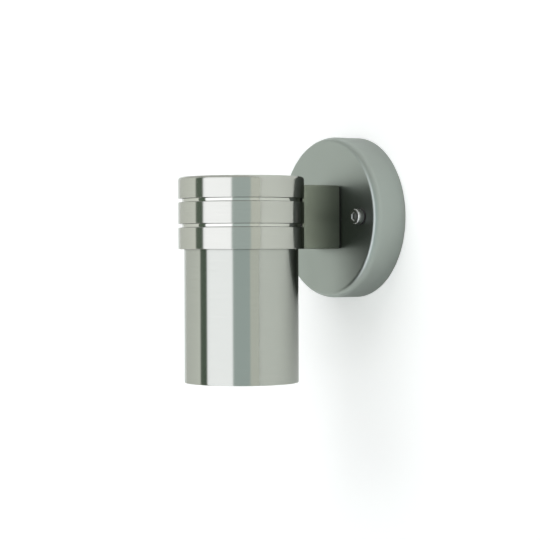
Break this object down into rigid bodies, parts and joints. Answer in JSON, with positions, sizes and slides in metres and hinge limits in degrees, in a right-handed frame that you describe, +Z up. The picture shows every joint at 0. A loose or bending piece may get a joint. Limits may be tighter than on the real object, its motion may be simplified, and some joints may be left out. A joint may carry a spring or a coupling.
{
  "type": "tube wall light",
  "caption": "Satin steel downlight for a wall: round canopy, short rectangular arm, grooved collar and a tube that unscrews to reach its twist-lock lamp.",
  "frame": {"origin": "centre of the canopy on the wall plane, midway between the two wall slots", "axes": "+Z up, +Y into the wall, the light stands out towards -Y, +X to the right seen from the room"},
  "size_m": [0.092, 0.115, 0.138],
  "materials": {
    "stainless": "satin stainless, circumferential grain",
    "screw_steel": "turned stainless",
    "zinc_steel": "bright zinc plated sheet",
    "black_rubber": "matt black",
    "clear_silicone": "translucent white silicone",
    "lens_glass": "clear toughened glass",
    "lamp_glass": "clear glass",
    "reflector_coating": "bright faceted reflector",
    "white_ceramic": "unglazed white ceramic",
    "brass": "machined",
    "plated_brass": "nickel plated",
    "terminal_nylon": "natural nylon",
    "brown_insulation": "smooth insulation",
    "blue_insulation": "smooth insulation",
    "green_yellow_insulation": "smooth insulation, striped"
  },
  "bodies": {
    "wall_light": {"canopy": "stainless", "arm": "stainless", "collar": "stainless", "arm_wall_screws": "screw_steel", "arm_head_screws": "screw_steel", "lampholder_screws": "screw_steel", "lampholder_bracket_screw": "screw_steel", "terminal_fixing_screw": "screw_steel", "terminal_screws": "screw_steel", "lampholder_nuts": "screw_steel", "earth_screw": "screw_steel", "earth_washer": "screw_steel", "wall_bracket": "zinc_steel", "lampholder_bracket": "zinc_steel", "arm_wall_plate": "zinc_steel", "arm_saddle": "zinc_steel", "canopy_gasket": "black_rubber", "arm_gasket": "black_rubber", "cable_grommet": "black_rubber", "head_grommet": "black_rubber", "lampholder": "white_ceramic", "terminal_inserts": "brass", "lampholder_contacts": "plated_brass", "earth_lugs": "plated_brass", "terminal_block": "terminal_nylon", "live_wire": "brown_insulation", "neutral_wire": "blue_insulation", "earth_wire": "green_yellow_insulation"},
    "tube_head": {"tube": "stainless", "lens_seat_ring": "stainless", "lens": "lens_glass", "lens_gasket": "clear_silicone", "lens_ring": "stainless"},
    "tube_seal_ring": {"tube_seal": "black_rubber"},
    "left_seal": {"screw_seal_left": "black_rubber"},
    "left_screw": {"cap_screw_left": "screw_steel"},
    "right_seal": {"screw_seal_right": "black_rubber"},
    "right_screw": {"cap_screw_right": "screw_steel"},
    "lamp": {"lamp_base": "white_ceramic", "lamp_pins": "plated_brass", "lamp_reflector": "reflector_coating", "lamp_capsule": "lamp_glass", "lamp_front_glass": "lamp_glass"}
  },
  "joints": [
    {"name": "tube_drop", "type": "slide", "parent": "wall_light", "child": "tube_seal_ring", "axis": [0, 0, -1], "range_m": [0, 0.008]},
    {"name": "tube_turn", "type": "hinge", "parent": "tube_seal_ring", "child": "tube_head", "pos_m": [0, -0.08, 0], "axis": [0, 0, -1], "range_deg": [0, 1925]},
    {"name": "left_screw_out", "type": "slide", "parent": "wall_light", "child": "left_seal", "axis": [0, -1, 0], "range_m": [0, 0.0048]},
    {"name": "left_screw_turn", "type": "hinge", "parent": "left_seal", "child": "left_screw", "pos_m": [-0.032, 0, 0], "axis": [0, -1, 0], "range_deg": [0, 2165]},
    {"name": "right_screw_out", "type": "slide", "parent": "wall_light", "child": "right_seal", "axis": [0, -1, 0], "range_m": [0, 0.0048]},
    {"name": "right_screw_turn", "type": "hinge", "parent": "right_seal", "child": "right_screw", "pos_m": [0.032, 0, 0], "axis": [0, -1, 0], "range_deg": [0, 2165]},
    {"name": "lamp_twist", "type": "hinge", "parent": "wall_light", "child": "lamp", "pos_m": [0, -0.08, 0], "axis": [0, 0, -1], "range_deg": [0, 17]}
  ],
  "couplings": [
    {"joint": "tube_turn", "follows": "tube_drop", "rad_per_m": 4188.8},
    {"joint": "left_screw_turn", "follows": "left_screw_out", "rad_per_m": 7854},
    {"joint": "right_screw_turn", "follows": "right_screw_out", "rad_per_m": 7854}
  ]
}
